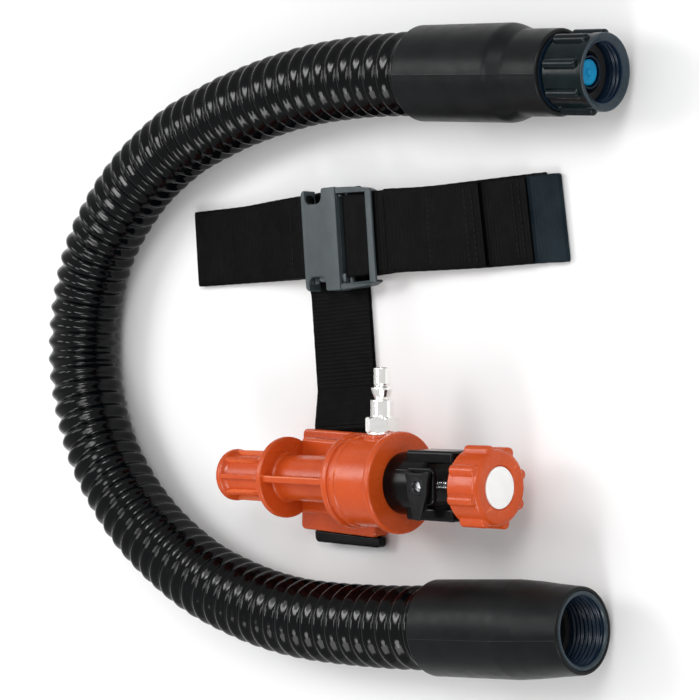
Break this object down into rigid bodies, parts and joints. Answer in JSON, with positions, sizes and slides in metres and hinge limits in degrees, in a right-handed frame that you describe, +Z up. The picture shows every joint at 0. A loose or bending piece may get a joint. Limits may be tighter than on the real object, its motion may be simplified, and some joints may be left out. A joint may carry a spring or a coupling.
{
  "type": "supplied-air breathing tube with belt valve",
  "caption": "Corrugated breathing tube with rubber cuffs and threaded couplings, with a buckled waist belt that carries an orange knob-controlled air valve.",
  "frame": {"origin": "on the surface the kit lies on, below the middle of the box round the cuffs, belt and valve (the free hose left out)", "axes": "+Z up off the surface; +X along the valve towards its knob and towards the open ends of the cuffs; +Y from the valve towards the belt"},
  "size_m": [0.4629, 0.3622, 0.0655],
  "materials": {
    "hose_vinyl": "gloss black flexible vinyl, corrugated",
    "cuff_rubber": "satin black moulded rubber",
    "stainless_band": "brushed stainless band",
    "black_plastic": "black moulded nylon",
    "seat_plastic": "dark blue-black moulded plastic",
    "blue_silicone": "translucent blue silicone",
    "seal_rubber": "black seal rubber",
    "insert_plastic": "dark navy moulded insert",
    "belt_webbing": "black ribbed nylon webbing",
    "buckle_plastic": "dark slate acetal",
    "orange_plastic": "orange moulded plastic, semi-gloss",
    "felt_silencer": "pressed felt",
    "steel": "turned stainless steel",
    "brass": "turned brass",
    "nickel": "bright nickel plate",
    "white_plastic": "white moulded cap"
  },
  "bodies": {
    "hose_set": {"breathing_hose": "hose_vinyl", "upper_cuff": "cuff_rubber", "upper_clamp": "stainless_band", "upper_spigot": "black_plastic", "check_valve_seat": "seat_plastic", "check_valve_flap": "blue_silicone", "nut_gasket": "seal_rubber", "lower_cuff": "cuff_rubber", "lower_clamp": "stainless_band", "lower_connector": "insert_plastic", "lower_gasket": "seal_rubber"},
    "swivel_nut": {"coupling_nut": "black_plastic"},
    "belt_set": {"belt_webbing": "belt_webbing", "hanger_strap": "belt_webbing", "strap_end_bar": "black_plastic", "buckle_socket": "buckle_plastic", "valve_body": "orange_plastic", "outlet_tail": "orange_plastic", "tail_oring": "seal_rubber", "silencer_sleeve": "felt_silencer", "orifice_disc": "steel", "vortex_generator": "brass", "hot_tube": "steel", "end_flange": "orange_plastic", "flange_oring": "seal_rubber", "valve_neck": "black_plastic", "neck_oring": "seal_rubber", "spindle_oring": "seal_rubber", "inlet_washer": "nickel", "inlet_adapter": "nickel", "inlet_filter": "brass", "inlet_plug": "nickel"},
    "buckle_half": {"buckle_plug": "buckle_plastic", "belt_right_run": "belt_webbing", "belt_overlap": "belt_webbing"},
    "needle": {"cone_valve": "steel"},
    "knob_set": {"spindle": "steel", "knob": "orange_plastic", "knob_screw": "steel", "knob_cap": "white_plastic"},
    "lever_set": {"shutoff_lever": "black_plastic", "gate_stem": "steel"}
  },
  "joints": [
    {"name": "nut_spin", "type": "hinge", "parent": "hose_set", "child": "swivel_nut", "pos_m": [0.16011, 0.14288, 0.0265], "axis": [0.9957, -0.0924, 0], "continuous": true},
    {"name": "belt_lift", "type": "slide", "parent": "hose_set", "child": "belt_set", "axis": [0, 0, 1], "range_m": [0, 0.15]},
    {"name": "buckle_release", "type": "slide", "parent": "belt_set", "child": "buckle_half", "axis": [0.9997, 0.0232, 0], "range_m": [0, 0.03]},
    {"name": "cone_travel", "type": "slide", "parent": "belt_set", "child": "needle", "axis": [0.9999, 0.0105, 0], "range_m": [0, 0.0015]},
    {"name": "knob_turn", "type": "hinge", "parent": "needle", "child": "knob_set", "pos_m": [0.0632, -0.0733, 0.037], "axis": [0.9999, 0.0105, 0], "range_deg": [0, 360]},
    {"name": "lever_swing", "type": "hinge", "parent": "belt_set", "child": "lever_set", "pos_m": [0.0697, -0.07323, 0.055], "axis": [0, 0, 1], "range_deg": [0, 90]}
  ],
  "couplings": [
    {"joint": "cone_travel", "follows": "knob_turn", "m_per_rad": 0.0002387}
  ]
}
